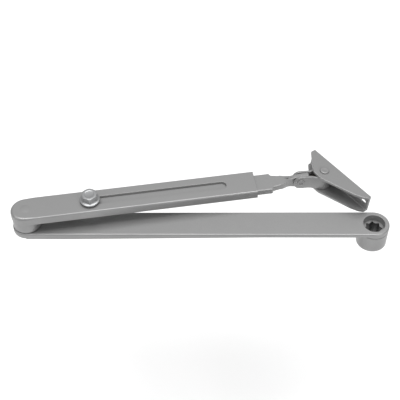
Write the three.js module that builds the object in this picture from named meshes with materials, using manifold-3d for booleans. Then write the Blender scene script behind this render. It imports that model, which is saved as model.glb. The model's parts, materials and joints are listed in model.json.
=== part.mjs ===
// Arm assembly of an overhead door closer: main arm with its square-drive socket, a forearm whose
// length adjusts along a slotted cover, and the swivelling shoe that screws to the door frame.
// Millimetres, +Z up. The origin is on the spindle axis at the bottom face of the socket hub.

import * as THREE from 'three';
import { mergeVertices, toCreasedNormals } from 'three/addons/utils/BufferGeometryUtils.js';
import Module from 'manifold-3d';

const wasm = await Module();
wasm.setup();

// ---- driving dimensions -------------------------------------------------------------------

// General fits
const FIT = 0.3; // running gap between pieces that turn or slide on each other
const SHEET = 2.2; // gauge of the folded cover, slide and shoe
const ROUND = 48; // facets round a turned surface

// Main arm: a forged bar lying along X, thicker at the elbow than at the hub
const ARM_LENGTH = 309.4; // spindle axis to elbow axis
const ARM_WIDTH = 27.5;
const ARM_THICK_ELBOW = 6.5;
const ARM_THICK_HUB = 3.4;
const ARM_TAPER_END = 100; // distance from the spindle axis at which the taper stops
const ARM_EDGE = 1.6; // rounding of the top edges

// Socket hub under the end of the main arm
const HUB_HEIGHT = 20.2; // bottom face to the underside of the arm
const HUB_RADIUS = 13.7;
const COUNTERBORE_RADIUS = 9.75; // room for the head of the screw that holds the arm on
const LEDGE_DEPTH = 7; // arm top down to the seat of that screw
const SOCKET_SQUARE = 12; // across the flats of each of the two crossed squares

// Elbow
const ELBOW_BOSS_RADIUS = 12.4;
const ELBOW_PIN_RADIUS = 4;
const BUSH_WALL = 1.5;
const THRUST_WASHER = 0.8;
const THRUST_WASHER_RADIUS = 9.5;
const SPRING_WASHER = 0.8;
const RETAINING_WASHER = 1.5;
const RETAINING_WASHER_RADIUS = 8.5;
const RIVET_HEAD = 2.2;

// Forearm cover: an inverted channel with a round end over the elbow
const FOREARM_ANGLE = 9.23; // degrees it stands open from the main arm
const COVER_LENGTH = 206.2; // elbow axis to the open end
const COVER_WIDTH = 25.6;
const COVER_HEIGHT = 8.2;
const COVER_EDGE = 1.8;

// Length adjustment
const CLAMP_START = 57.3; // elbow axis to the clamp bolt with the forearm at its shortest
const ADJUST_TRAVEL = 118;
const BOLT_RADIUS = 4; // M8
const SLOT_CLEARANCE = 0.4; // bolt to the side of the slot

// Slide: a smaller channel inside the cover, its flanges pinched together into a tongue
const SLIDE_TAIL = 15.3; // clamp bolt back to the inner end of the slide
const SLIDE_SHOWING = 14.3; // full-width part standing out of the cover at the shortest setting
const SLIDE_HEIGHT = 5.7;
const SLIDE_GAP = 0.75; // slide to the cover's side walls
const NECK_HALF_WIDTH = 7.3;
const NECK_END_HALF_WIDTH = 5.7;
const NECK_LENGTH = 9.5; // shoulder to where the flanges turn in
const WEB_POINT = 6.6; // the web runs on this far between the flanges, to a point
const PINCH_LENGTH = 7.5; // where the flanges turn in to where they meet
const TONGUE_LENGTH = 18.3;
const TONGUE_HALF = 2.1;
const TONGUE_HEIGHT = 12.4;
const EAR_LAG = 2; // the far flange turns in this much later than the near one

// Clamp screw
const HEX_FLATS = 13;
const HEX_HEIGHT = 7.6;
const BOLT_FLANGE_RADIUS = 8.85;
const BOLT_FLANGE = 1.4;
const LOCK_WASHER = 1.6;
const LOCK_WASHER_RADIUS = 7.4;
const NUT_LENGTH = 13; // along the slide
const NUT_ROOM = 0.95; // nut to each flange, too little for it to turn
const NUT_HEIGHT = 6.5;

// Loop: a strap bent round the shoe pin, its two leaves riveted either side of the tongue
const TILT_FROM_TIP = 7.9; // tongue's tip back to the tilt rivet
const TILT_BELOW_COVER = 4.5; // cover top down to the tilt rivet
const LOOP_DROOP = 4.6; // degrees the loop hangs below the forearm
const LOOP_SAG = 0.5; // middle of the strap below the tilt rivet
const LOOP_LENGTH = 21.4; // tilt rivet to shoe pin
const LOOP_HEIGHT = 14.0;
const STRAP = 2;
const LOOP_EYE_RADIUS = 7.7;
const LOOP_LEAF_RADIUS = 6.6;
const LEAF_PARALLEL = 12.4; // shoe pin back to where the leaves run parallel
const TILT_RIVET_RADIUS = 2.5;
const TILT_SLEEVE_WALL = 0.9;
const TILT_HEAD_RADIUS = 3.5;
const TILT_HEAD = 0.8;

// Shoe: a folded bracket, web against the frame, two cheeks carrying the pin
const SHOE_ANGLE = -60.2; // web direction from the loop axis
const SHOE_CLEARANCE = 0.7; // the shoe's lowest corner above the main arm when folded
const WEB_LENGTH = 72.5;
const PIN_FROM_END = 25.4;
const PIN_FROM_WEB = 12.8;
const CHEEK_DEPTH = 21.7;
const SHOE_PIN_RADIUS = 3.6;
const SHOE_PIN_HEAD_RADIUS = 4.25;
const SHOE_PIN_HEAD = 1.5;
const SCREW_HOLE_RADIUS = 2.4;
const SCREW_FROM_END = 6;
const SCREW_SLOT_HALF = 1.4; // slot centre to the centre of its round end

// ---- derived positions --------------------------------------------------------------------

const armTop = HUB_HEIGHT + ARM_THICK_HUB;
const armBottomElbow = armTop - ARM_THICK_ELBOW;
const bossBottom = armTop + THRUST_WASHER;

// The elbow boss is as tall as it takes for the drooping shoe to pass over the main arm
const shoeInnerHalf = LOOP_HEIGHT / 2 + FIT;
const shoeHalf = shoeInnerHalf + SHEET;
const droop = THREE.MathUtils.degToRad(LOOP_DROOP);
const shoeTurn = THREE.MathUtils.degToRad(SHOE_ANGLE);
const cornerReach = (WEB_LENGTH - PIN_FROM_END) * Math.cos(shoeTurn) - PIN_FROM_WEB * Math.sin(shoeTurn);
const cornerDrop = (LOOP_LENGTH + cornerReach) * Math.sin(droop) + (shoeHalf + LOOP_SAG) * Math.cos(droop);
const tiltHeight = armTop + SHOE_CLEARANCE + cornerDrop;
const coverTop = tiltHeight + TILT_BELOW_COVER;
const coverBottom = coverTop - COVER_HEIGHT;
const coverUnderside = coverTop - SHEET;
const coverInnerHalf = COVER_WIDTH / 2 - SHEET;
const slideTop = coverUnderside - FIT;
const slideBottom = slideTop - SLIDE_HEIGHT;
const slideHalf = coverInnerHalf - SLIDE_GAP;
const slideUnderside = slideTop - SHEET;
const shoulder = COVER_LENGTH + SLIDE_SHOWING;
const neckEnd = shoulder + NECK_LENGTH;
const webEnd = neckEnd + WEB_POINT;
const tongueStart = neckEnd + PINCH_LENGTH;
const tongueEnd = tongueStart + TONGUE_LENGTH;
const tiltDistance = tongueEnd - TILT_FROM_TIP;
const leafInner = TONGUE_HALF + FIT;
const leafOuter = leafInner + STRAP;
const eyeInner = LOOP_EYE_RADIUS - STRAP;
const tiltBore = TILT_RIVET_RADIUS + FIT;
const tiltSleeveRadius = tiltBore + TILT_SLEEVE_WALL;

// ---- solid helpers ------------------------------------------------------------------------

function solidOf(geometry) {
  const bare = new THREE.BufferGeometry();
  bare.setAttribute('position', geometry.getAttribute('position'));
  if (geometry.index) {
    bare.setIndex(geometry.index);
  }
  const welded = mergeVertices(bare, 1e-5);
  const mesh = new wasm.Mesh({
    numProp: 3,
    vertProperties: new Float32Array(welded.getAttribute('position').array),
    triVerts: new Uint32Array(welded.index.array),
  });
  return new wasm.Manifold(mesh);
}

function geometryOf(solid) {
  const mesh = solid.getMesh();
  const geometry = new THREE.BufferGeometry();
  geometry.setAttribute('position', new THREE.BufferAttribute(mesh.vertProperties, 3));
  geometry.setIndex(new THREE.BufferAttribute(mesh.triVerts, 1));
  return toCreasedNormals(geometry, THREE.MathUtils.degToRad(35));
}

// Straight prism of a closed outline [[x, y], ...] from z = low to z = high
function prism(outline, low, high) {
  const shape = new THREE.Shape(outline.map(([x, y]) => new THREE.Vector2(x, y)));
  const geometry = new THREE.ExtrudeGeometry(shape, { depth: high - low, bevelEnabled: false });
  geometry.translate(0, 0, low);
  return solidOf(geometry);
}

// Prism with every top and bottom edge rounded
function roundedPrism(outline, low, high, edge) {
  const shape = new THREE.Shape(outline.map(([x, y]) => new THREE.Vector2(x, y)));
  const geometry = new THREE.ExtrudeGeometry(shape, {
    depth: high - low - 2 * edge,
    bevelThickness: edge,
    bevelSize: edge,
    bevelOffset: -edge,
    bevelSegments: 4,
  });
  geometry.translate(0, 0, low + edge);
  return solidOf(geometry);
}

// Prism of an outline [[x, z], ...] drawn in the side view and run from y = near to y = far
function sidePrism(outline, near, far) {
  const shape = new THREE.Shape(outline.map(([x, z]) => new THREE.Vector2(x, z)));
  const geometry = new THREE.ExtrudeGeometry(shape, { depth: far - near, bevelEnabled: false });
  geometry.rotateX(Math.PI / 2);
  geometry.translate(0, far, 0);
  return solidOf(geometry);
}

// Solid of revolution about Z from an outline [[radius, z], ...] whose ends lie on the axis
function turned(outline) {
  const points = outline.map(([radius, z]) => new THREE.Vector2(radius, z));
  const geometry = new THREE.LatheGeometry(points, ROUND);
  geometry.rotateX(Math.PI / 2);
  return solidOf(geometry);
}

// Plain disc or shaft about Z
function disc(radius, low, high) {
  return turned([
    [0, low],
    [radius, low],
    [radius, high],
    [0, high],
  ]);
}

function ring(outer, inner, low, high) {
  return disc(outer, low, high).subtract(disc(inner, low - 1, high + 1));
}

// Disc with a rounded upper rim
function domed(radius, low, high, edge) {
  const rim = [];
  for (let step = 0; step <= 4; step += 1) {
    const angle = (Math.PI / 2) * (step / 4);
    rim.push([radius - edge + edge * Math.cos(angle), high - edge + edge * Math.sin(angle)]);
  }
  return turned([[0, low], [radius, low], ...rim, [0, high]]);
}

// Points of an arc, angles in degrees
function arc(cx, cy, radius, from, to, steps) {
  const points = [];
  for (let step = 0; step <= steps; step += 1) {
    const angle = THREE.MathUtils.degToRad(from + ((to - from) * step) / steps);
    points.push([cx + radius * Math.cos(angle), cy + radius * Math.sin(angle)]);
  }
  return points;
}

// Obround between two centres on the X axis
function obround(x0, x1, radius) {
  const half = ROUND / 2;
  return [...arc(x1, 0, radius, -90, 90, half), ...arc(x0, 0, radius, 90, 270, half)];
}

function polygonOutline(flats, sides, turnDegrees) {
  const radius = flats / 2 / Math.cos(Math.PI / sides);
  return arc(0, 0, radius, turnDegrees, turnDegrees + 360 - 360 / sides, sides - 1);
}

function move(solid, x, y, z) {
  return solid.translate([x, y, z]);
}

// Turn a solid built about Z so that its axis lies along Y
function alongY(solid) {
  return solid.rotate([90, 0, 0]);
}

// ---- finishes and nodes -------------------------------------------------------------------

const silver = new THREE.MeshStandardMaterial({ color: 0xa3a4a5, metalness: 0.6, roughness: 0.45 });
const zinc = new THREE.MeshStandardMaterial({ color: 0xb9babb, metalness: 0.9, roughness: 0.35 });
const bronze = new THREE.MeshStandardMaterial({ color: 0x9a7b4f, metalness: 0.8, roughness: 0.4 });
const acetal = new THREE.MeshStandardMaterial({ color: 0x2b2c2e, metalness: 0, roughness: 0.6 });

function node(parent, name, solid, material) {
  const mesh = new THREE.Mesh(geometryOf(solid), material.clone());
  mesh.name = name;
  parent.add(mesh);
}

// ---- main arm -----------------------------------------------------------------------------

function mainArm() {
  const half = ARM_WIDTH / 2;
  const bar = roundedPrism(obround(-ARM_LENGTH, 0, half), armBottomElbow - 5, armTop, ARM_EDGE);
  const bottomHub = armTop - ARM_THICK_HUB;
  const under = sidePrism(
    [
      [-ARM_LENGTH - half - 1, armBottomElbow],
      [-ARM_LENGTH - half - 1, armBottomElbow - 10],
      [half + 1, armBottomElbow - 10],
      [half + 1, bottomHub],
      [-ARM_TAPER_END, bottomHub],
      [-ARM_LENGTH + half, armBottomElbow],
    ],
    -half - 1,
    half + 1,
  );
  const screwRoom = disc(COUNTERBORE_RADIUS, 0, armTop + 1);
  const bushHole = disc(ELBOW_PIN_RADIUS + FIT + BUSH_WALL, armBottomElbow - 1, armTop + 1);
  return bar.subtract(under).subtract(screwRoom).subtract(move(bushHole, -ARM_LENGTH, 0, 0));
}

function socketHub() {
  const ledge = armTop - LEDGE_DEPTH;
  const barrel = turned([
    [0, 0],
    [HUB_RADIUS - 1, 0],
    [HUB_RADIUS, 1],
    [HUB_RADIUS, HUB_HEIGHT],
    [0, HUB_HEIGHT],
  ]);
  const squareA = prism(polygonOutline(SOCKET_SQUARE, 4, 0), -1, ledge + 1);
  const squareB = prism(polygonOutline(SOCKET_SQUARE, 4, 45), -1, ledge + 1);
  return barrel
    .subtract(disc(COUNTERBORE_RADIUS, ledge, armTop))
    .subtract(squareA.add(squareB));
}

function elbowBush() {
  const inner = ELBOW_PIN_RADIUS + FIT;
  return move(ring(inner + BUSH_WALL, inner, armBottomElbow, armTop), -ARM_LENGTH, 0, 0);
}

function elbowWasher(outer, low, high) {
  return ring(outer, ELBOW_PIN_RADIUS + FIT, low, high);
}

// ---- forearm, drawn along +X from the elbow axis ------------------------------------------

// Channel outline seen from above: round over the elbow, square at the open end
function coverOutline(half, length) {
  return [...arc(0, 0, half, 90, 270, ROUND / 2), [length, -half], [length, half]];
}

function forearmCover() {
  const half = COVER_WIDTH / 2;
  const length = COVER_LENGTH;
  const block = roundedPrism(coverOutline(half, length + 10), coverBottom - 5, coverTop, COVER_EDGE);
  const room = prism(coverOutline(coverInnerHalf, length + 20), coverBottom - 10, coverUnderside);
  const below = prism(coverOutline(half + 1, length + 20), coverBottom - 10, coverBottom);
  const beyond = prism(
    [
      [length, -half - 1],
      [length + 20, -half - 1],
      [length + 20, half + 1],
      [length, half + 1],
    ],
    coverBottom - 10,
    coverTop + 1,
  );
  const slot = prism(
    obround(CLAMP_START, CLAMP_START + ADJUST_TRAVEL, BOLT_RADIUS + SLOT_CLEARANCE),
    coverUnderside - 1,
    coverTop + 1,
  );
  const pinHole = disc(ELBOW_PIN_RADIUS + FIT, coverUnderside - 1, coverTop + 1);
  return block.subtract(room).subtract(below).subtract(beyond).subtract(slot).subtract(pinHole);
}

function elbowBoss() {
  const spigot = coverInnerHalf - FIT;
  const body = turned([
    [0, bossBottom],
    [ELBOW_BOSS_RADIUS, bossBottom],
    [ELBOW_BOSS_RADIUS, coverBottom],
    [spigot, coverBottom],
    [spigot, coverUnderside],
    [0, coverUnderside],
  ]);
  return body.subtract(disc(ELBOW_PIN_RADIUS + FIT, bossBottom - 1, coverUnderside + 1));
}

function elbowPin() {
  const head = armBottomElbow - SPRING_WASHER - RETAINING_WASHER;
  return turned([
    [0, head - RIVET_HEAD],
    [ELBOW_PIN_RADIUS + 1, head - RIVET_HEAD],
    [ELBOW_PIN_RADIUS + 2.4, head - RIVET_HEAD + 1],
    [ELBOW_PIN_RADIUS + 2.4, head],
    [ELBOW_PIN_RADIUS, head],
    [ELBOW_PIN_RADIUS, coverTop],
    [0, coverTop],
  ]);
}

// ---- slide ---------------------------------------------------------------------------------

function slideOutline(half, neck, narrow, start, step) {
  return [
    [start, -half],
    [step, -half],
    [step + 1.5, -neck],
    [neckEnd, -narrow],
    [neckEnd, narrow],
    [step + 1.5, neck],
    [step, half],
    [start, half],
  ];
}

// One flange carried on past the neck and bent in to the tongue; side is +1 far, -1 near
function ear(side) {
  const lag = side > 0 ? EAR_LAG : 0;
  const inner = TONGUE_HALF - SHEET;
  const path = [
    [neckEnd - 1, NECK_END_HALF_WIDTH],
    [neckEnd + 1.5 + lag, NECK_END_HALF_WIDTH - 0.4],
    [tongueStart - 1.2 + lag, TONGUE_HALF + 0.5],
    [tongueStart + 0.8 + lag, TONGUE_HALF],
    [tongueEnd, TONGUE_HALF],
    [tongueEnd, inner],
    [tongueStart + lag, inner],
    [tongueStart - 2.4 + lag, TONGUE_HALF + 0.3 - SHEET / 2],
    [neckEnd + 0.4 + lag, NECK_END_HALF_WIDTH - SHEET - 0.4],
    [neckEnd - 1, NECK_END_HALF_WIDTH - SHEET],
  ];
  const outline = path.map(([x, y]) => [x, y * side]);
  return prism(side > 0 ? outline : outline.reverse(), slideBottom - 10, slideTop + 10);
}

// Side view of the flanges from the neck to the tip of the tongue
function earProfile() {
  const middle = tiltHeight - 0.4;
  const low = middle - TONGUE_HEIGHT / 2;
  const high = middle + TONGUE_HEIGHT / 2;
  return sidePrism(
    [
      [shoulder, slideBottom],
      [neckEnd + 1, slideBottom - 0.4],
      [neckEnd + 6, low + 1.6],
      [tongueStart + 5, low],
      [tongueEnd, low],
      [tongueEnd, high],
      [tongueEnd - 6, high - 0.1],
      [tongueStart + 4, high - 1],
      [tongueStart, high - 2.2],
      [neckEnd + 3, slideTop],
      [shoulder, slideTop],
    ],
    -20,
    20,
  );
}

function slideChannel() {
  const start = CLAMP_START - SLIDE_TAIL;
  const outer = slideOutline(slideHalf, NECK_HALF_WIDTH, NECK_END_HALF_WIDTH, start, shoulder);
  const inner = slideOutline(
    slideHalf - SHEET,
    NECK_HALF_WIDTH - SHEET,
    NECK_END_HALF_WIDTH - SHEET,
    start - 1,
    shoulder - SHEET / 2,
  );
  const shell = prism(outer, slideBottom, slideTop)
    .subtract(prism(inner, slideBottom - 1, slideUnderside));
  const beyondNeck = prism(
    [
      [neckEnd - 0.02, -3.6],
      [neckEnd + 3.9, -3.6],
      [webEnd, 0],
      [neckEnd + 3.9, 3.6],
      [neckEnd - 0.02, 3.6],
    ],
    slideUnderside,
    slideTop,
  );
  const doorway = prism(
    [
      [neckEnd - 1, SHEET - NECK_END_HALF_WIDTH],
      [neckEnd + 1, SHEET - NECK_END_HALF_WIDTH],
      [neckEnd + 1, NECK_END_HALF_WIDTH - SHEET],
      [neckEnd - 1, NECK_END_HALF_WIDTH - SHEET],
    ],
    slideBottom - 1,
    slideUnderside,
  );
  const ears = ear(1).add(ear(-1)).intersect(earProfile());
  const boltHole = move(disc(BOLT_RADIUS + FIT, slideUnderside - 1, slideTop + 1), CLAMP_START, 0, 0);
  const tiltHole = move(alongY(disc(tiltSleeveRadius + FIT, -20, 20)), tiltDistance, 0, tiltHeight);
  return shell.add(beyondNeck).add(ears).subtract(doorway).subtract(boltHole).subtract(tiltHole);
}

function clampNut() {
  const along = NUT_LENGTH / 2;
  const across = slideHalf - SHEET - NUT_ROOM;
  const block = prism(
    [
      [-along, -across],
      [along, -across],
      [along, across],
      [-along, across],
    ],
    slideUnderside - NUT_HEIGHT,
    slideUnderside,
  );
  const bore = disc(BOLT_RADIUS + FIT, slideUnderside - NUT_HEIGHT - 1, slideUnderside + 1);
  return block.subtract(bore);
}

function lockWasher() {
  return ring(LOCK_WASHER_RADIUS, BOLT_RADIUS + FIT, coverTop, coverTop + LOCK_WASHER);
}

function clampBolt() {
  const seat = coverTop + LOCK_WASHER;
  const tip = slideUnderside - NUT_HEIGHT - 2.5;
  const corner = HEX_FLATS / 2 / Math.cos(Math.PI / 6);
  const collar = turned([
    [0, seat],
    [BOLT_FLANGE_RADIUS - 0.3, seat],
    [BOLT_FLANGE_RADIUS, seat + 0.3],
    [BOLT_FLANGE_RADIUS, seat + BOLT_FLANGE - 0.3],
    [BOLT_FLANGE_RADIUS - 0.5, seat + BOLT_FLANGE],
    [HEX_FLATS / 2, seat + BOLT_FLANGE + 1],
    [0, seat + BOLT_FLANGE + 1],
  ]);
  const chamfer = turned([
    [0, seat],
    [corner + 0.1, seat],
    [corner + 0.1, seat + HEX_HEIGHT - 0.9],
    [HEX_FLATS / 2 - 0.4, seat + HEX_HEIGHT],
    [0, seat + HEX_HEIGHT],
  ]);
  const hex = prism(polygonOutline(HEX_FLATS, 6, -93.4), seat, seat + HEX_HEIGHT);
  const shank = turned([
    [0, tip],
    [BOLT_RADIUS - 1, tip],
    [BOLT_RADIUS, tip + 1],
    [BOLT_RADIUS, seat + 1],
    [0, seat + 1],
  ]);
  return collar.add(hex.intersect(chamfer)).add(shank);
}

// ---- loop, drawn along +X from the tilt rivet, with z = 0 at the middle of the strap ---------

function loopPlan(leaf, eye) {
  const pin = LOOP_LENGTH;
  const back = pin - LEAF_PARALLEL;
  const lean = Math.asin((eye - leaf) / LEAF_PARALLEL);
  const tangent = 90 + THREE.MathUtils.radToDeg(lean);
  return [
    [-LOOP_LEAF_RADIUS - 1, -leaf],
    [back, -leaf],
    ...arc(pin, 0, eye, -tangent, tangent, 40),
    [back, leaf],
    [-LOOP_LEAF_RADIUS - 1, leaf],
  ];
}

function swivelLoop() {
  const half = LOOP_HEIGHT / 2;
  const outer = prism(loopPlan(leafOuter, LOOP_EYE_RADIUS), -half, half);
  const room = loopPlan(leafInner, eyeInner).map(([x, y]) => [x < -1 ? x - 2 : x, y]);
  const inner = prism(room, -half - 1, half + 1);
  const side = sidePrism(
    [
      [LOOP_LENGTH + LOOP_EYE_RADIUS + 1, half],
      [0, half],
      ...arc(0, 0, LOOP_LEAF_RADIUS, 90, 270, 24).map(([x, z]) => [x, (z * half) / LOOP_LEAF_RADIUS]),
      [LOOP_LENGTH + LOOP_EYE_RADIUS + 1, -half],
    ],
    -20,
    20,
  );
  const rivetHole = move(alongY(disc(tiltBore, -20, 20)), 0, 0, LOOP_SAG);
  return outer.subtract(inner).intersect(side).subtract(rivetHole);
}

function loopBush() {
  const half = LOOP_HEIGHT / 2;
  return ring(eyeInner - FIT, SHOE_PIN_RADIUS + FIT, -half, half);
}

function tiltSleeve() {
  return alongY(ring(tiltSleeveRadius, tiltBore, -leafInner, leafInner));
}

function tiltRivet() {
  const end = leafOuter + TILT_HEAD;
  const rim = TILT_HEAD_RADIUS - 0.6;
  return alongY(
    turned([
      [0, -end],
      [rim, -end],
      [TILT_HEAD_RADIUS, -end + 0.5],
      [TILT_HEAD_RADIUS, -leafOuter],
      [TILT_RIVET_RADIUS, -leafOuter],
      [TILT_RIVET_RADIUS, leafOuter],
      [TILT_HEAD_RADIUS, leafOuter],
      [TILT_HEAD_RADIUS, end - 0.5],
      [rim, end],
      [0, end],
    ]),
  );
}

// ---- shoe, drawn with its pin on Z and its web along +X -------------------------------------

// Outline of a cheek; the web is the edge from the first point to the last
function cheekOutline() {
  const x = -PIN_FROM_END;
  const y = PIN_FROM_WEB;
  return [
    [x, y],
    [x + 0.3, y - 4.9],
    [x + 1.2, y - 6.5],
    [x + 9.1, y - 12.5],
    [x + 16.2, y - 18.4],
    [x + 20, y - 20.8],
    [x + 24, y - CHEEK_DEPTH],
    [x + 30, y - CHEEK_DEPTH],
    [x + 33, y - CHEEK_DEPTH + 0.8],
    [x + WEB_LENGTH - 10.5, y - 11],
    [x + WEB_LENGTH - 4.5, y - 7.9],
    [x + WEB_LENGTH - 1.4, y - 5.6],
    [x + WEB_LENGTH - 0.2, y - 3.4],
    [x + WEB_LENGTH, y],
  ];
}

function shoeBracket() {
  const x = -PIN_FROM_END;
  const y = PIN_FROM_WEB;
  const block = prism(cheekOutline(), -shoeHalf, shoeHalf);
  const room = prism(
    [
      [x - 1, y - SHEET],
      [x - 1, y - CHEEK_DEPTH - 1],
      [x + WEB_LENGTH + 1, y - CHEEK_DEPTH - 1],
      [x + WEB_LENGTH + 1, y - SHEET],
    ],
    -shoeInnerHalf,
    shoeInnerHalf,
  );
  const hole = alongY(disc(SCREW_HOLE_RADIUS, -60, 0));
  const slot = alongY(prism(obround(-SCREW_SLOT_HALF, SCREW_SLOT_HALF, SCREW_HOLE_RADIUS), -60, 0));
  const pinHole = disc(SHOE_PIN_RADIUS + FIT, -shoeHalf - 1, shoeHalf + 1);
  return block
    .subtract(room)
    .subtract(move(hole, x + SCREW_FROM_END, 0, 0))
    .subtract(move(slot, x + WEB_LENGTH - SCREW_FROM_END, 0, 0))
    .subtract(pinHole);
}

function shoePin() {
  const foot = SHOE_PIN_HEAD_RADIUS - 0.8;
  const rim = [];
  for (let step = 0; step <= 4; step += 1) {
    const angle = (Math.PI / 2) * (step / 4);
    rim.push([foot + 0.8 * Math.cos(angle), shoeHalf + SHOE_PIN_HEAD - 0.8 + 0.8 * Math.sin(angle)]);
  }
  return turned([
    [0, -shoeHalf - 0.8],
    [SHOE_PIN_RADIUS, -shoeHalf - 0.8],
    [SHOE_PIN_HEAD_RADIUS, -shoeHalf - 0.4],
    [SHOE_PIN_HEAD_RADIUS, -shoeHalf],
    [SHOE_PIN_RADIUS, -shoeHalf],
    [SHOE_PIN_RADIUS, shoeHalf],
    [SHOE_PIN_HEAD_RADIUS, shoeHalf],
    ...rim,
    [0, shoeHalf + SHOE_PIN_HEAD],
  ]);
}

// ---- assembly ------------------------------------------------------------------------------

const assembly = new THREE.Group();
assembly.name = 'door_closer_arm';

node(assembly, 'main_arm', mainArm(), silver);
node(assembly, 'socket_hub', socketHub(), silver);
node(assembly, 'elbow_bush', elbowBush(), bronze);

const forearm = new THREE.Group();
forearm.name = 'forearm_frame';
forearm.position.set(-ARM_LENGTH, 0, 0);
forearm.rotation.z = THREE.MathUtils.degToRad(FOREARM_ANGLE);
assembly.add(forearm);

const washerTop = armBottomElbow - SPRING_WASHER;
node(forearm, 'forearm_cover', forearmCover(), silver);
node(forearm, 'elbow_boss', elbowBoss(), silver);
node(forearm, 'elbow_pin', elbowPin(), zinc);
node(forearm, 'elbow_thrust_washer', elbowWasher(THRUST_WASHER_RADIUS, armTop, bossBottom), acetal);
node(
  forearm,
  'elbow_spring_washer',
  elbowWasher(RETAINING_WASHER_RADIUS - 0.5, washerTop, armBottomElbow),
  zinc,
);
node(
  forearm,
  'elbow_retaining_washer',
  elbowWasher(RETAINING_WASHER_RADIUS, washerTop - RETAINING_WASHER, washerTop),
  zinc,
);
node(forearm, 'slide_channel', slideChannel(), silver);
node(forearm, 'clamp_nut', move(clampNut(), CLAMP_START, 0, 0), zinc);
node(forearm, 'clamp_lock_washer', move(lockWasher(), CLAMP_START, 0, 0), zinc);
node(forearm, 'clamp_bolt', move(clampBolt(), CLAMP_START, 0, 0), zinc);

const loop = new THREE.Group();
loop.name = 'loop_frame';
loop.position.set(tiltDistance, 0, tiltHeight);
loop.rotation.y = THREE.MathUtils.degToRad(LOOP_DROOP);
forearm.add(loop);

node(loop, 'swivel_loop', move(swivelLoop(), 0, 0, -LOOP_SAG), silver);
node(loop, 'loop_bush', move(loopBush(), LOOP_LENGTH, 0, -LOOP_SAG), bronze);
node(loop, 'tilt_sleeve', tiltSleeve(), zinc);
node(loop, 'tilt_rivet', tiltRivet(), zinc);

const shoe = new THREE.Group();
shoe.name = 'shoe_frame';
shoe.position.set(LOOP_LENGTH, 0, -LOOP_SAG);
shoe.rotation.z = THREE.MathUtils.degToRad(SHOE_ANGLE);
loop.add(shoe);

node(shoe, 'shoe_bracket', shoeBracket(), silver);
node(shoe, 'shoe_pin', shoePin(), silver);

export default assembly;
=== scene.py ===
"""Looks of a door closer's folding arm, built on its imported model.

Every length inside the classes is in millimetres. Solids are modelled in that unit and turned
into metres when they become scene objects.
"""

from __future__ import annotations

import json
import logging
import math
from dataclasses import dataclass, field
from enum import Enum
from typing import Callable, Iterable, Sequence

import bmesh
import bpy
from mathutils import Matrix, Vector

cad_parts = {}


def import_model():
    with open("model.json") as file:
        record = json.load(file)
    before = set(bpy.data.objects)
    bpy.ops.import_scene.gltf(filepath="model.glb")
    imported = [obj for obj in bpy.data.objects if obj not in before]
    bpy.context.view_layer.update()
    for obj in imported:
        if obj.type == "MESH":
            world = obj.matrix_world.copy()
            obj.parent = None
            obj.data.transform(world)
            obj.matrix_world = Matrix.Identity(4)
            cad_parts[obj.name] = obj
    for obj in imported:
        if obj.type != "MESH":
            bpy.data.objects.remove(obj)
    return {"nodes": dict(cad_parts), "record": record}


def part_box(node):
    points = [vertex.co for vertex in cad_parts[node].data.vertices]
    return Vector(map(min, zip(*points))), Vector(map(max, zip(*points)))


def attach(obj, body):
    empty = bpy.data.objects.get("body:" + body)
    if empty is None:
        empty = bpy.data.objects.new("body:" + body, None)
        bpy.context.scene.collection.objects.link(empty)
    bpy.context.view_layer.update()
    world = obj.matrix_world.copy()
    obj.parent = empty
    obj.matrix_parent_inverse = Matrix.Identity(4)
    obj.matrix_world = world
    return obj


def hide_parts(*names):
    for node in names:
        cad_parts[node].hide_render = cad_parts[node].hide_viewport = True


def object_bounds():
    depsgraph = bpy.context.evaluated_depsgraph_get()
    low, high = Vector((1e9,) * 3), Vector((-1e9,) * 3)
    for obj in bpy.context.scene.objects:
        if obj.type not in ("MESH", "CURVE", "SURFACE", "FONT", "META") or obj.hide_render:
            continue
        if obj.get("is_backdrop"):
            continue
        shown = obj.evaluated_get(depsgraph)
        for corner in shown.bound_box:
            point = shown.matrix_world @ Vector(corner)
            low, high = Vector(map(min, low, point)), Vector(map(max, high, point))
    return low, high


LOG = logging.getLogger("closer_arm")
MM = 0.001
FACETS = 96
RUNNING_GAP = 0.3

Point = tuple[float, float]
Colour = tuple[float, float, float, float]


# ---- outlines --------------------------------------------------------------------------------


def arc(cx: float, cy: float, radius: float, start: float, end: float, steps: int) -> list[Point]:
    """Points of an arc.

    Args:
        cx, cy: The centre.
        radius: The radius.
        start, end: Angles in degrees.
        steps: Number of chords.

    Returns:
        The points from start to end, both included.
    """
    angles = [math.radians(start + (end - start) * k / steps) for k in range(steps + 1)]
    return [(cx + radius * math.cos(a), cy + radius * math.sin(a)) for a in angles]


def obround(x0: float, x1: float, radius: float) -> list[Point]:
    """Outline of a slot or bar with round ends centred at x0 and x1 on the X axis."""
    half = FACETS // 2
    return arc(x1, 0, radius, -90, 90, half) + arc(x0, 0, radius, 90, 270, half)


def polygon(flats: float, sides: int, turn: float) -> list[Point]:
    """Regular polygon of a width across its flats, first corner at turn degrees."""
    radius = flats / 2 / math.cos(math.pi / sides)
    return arc(0, 0, radius, turn, turn + 360 - 360 / sides, sides - 1)


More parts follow.
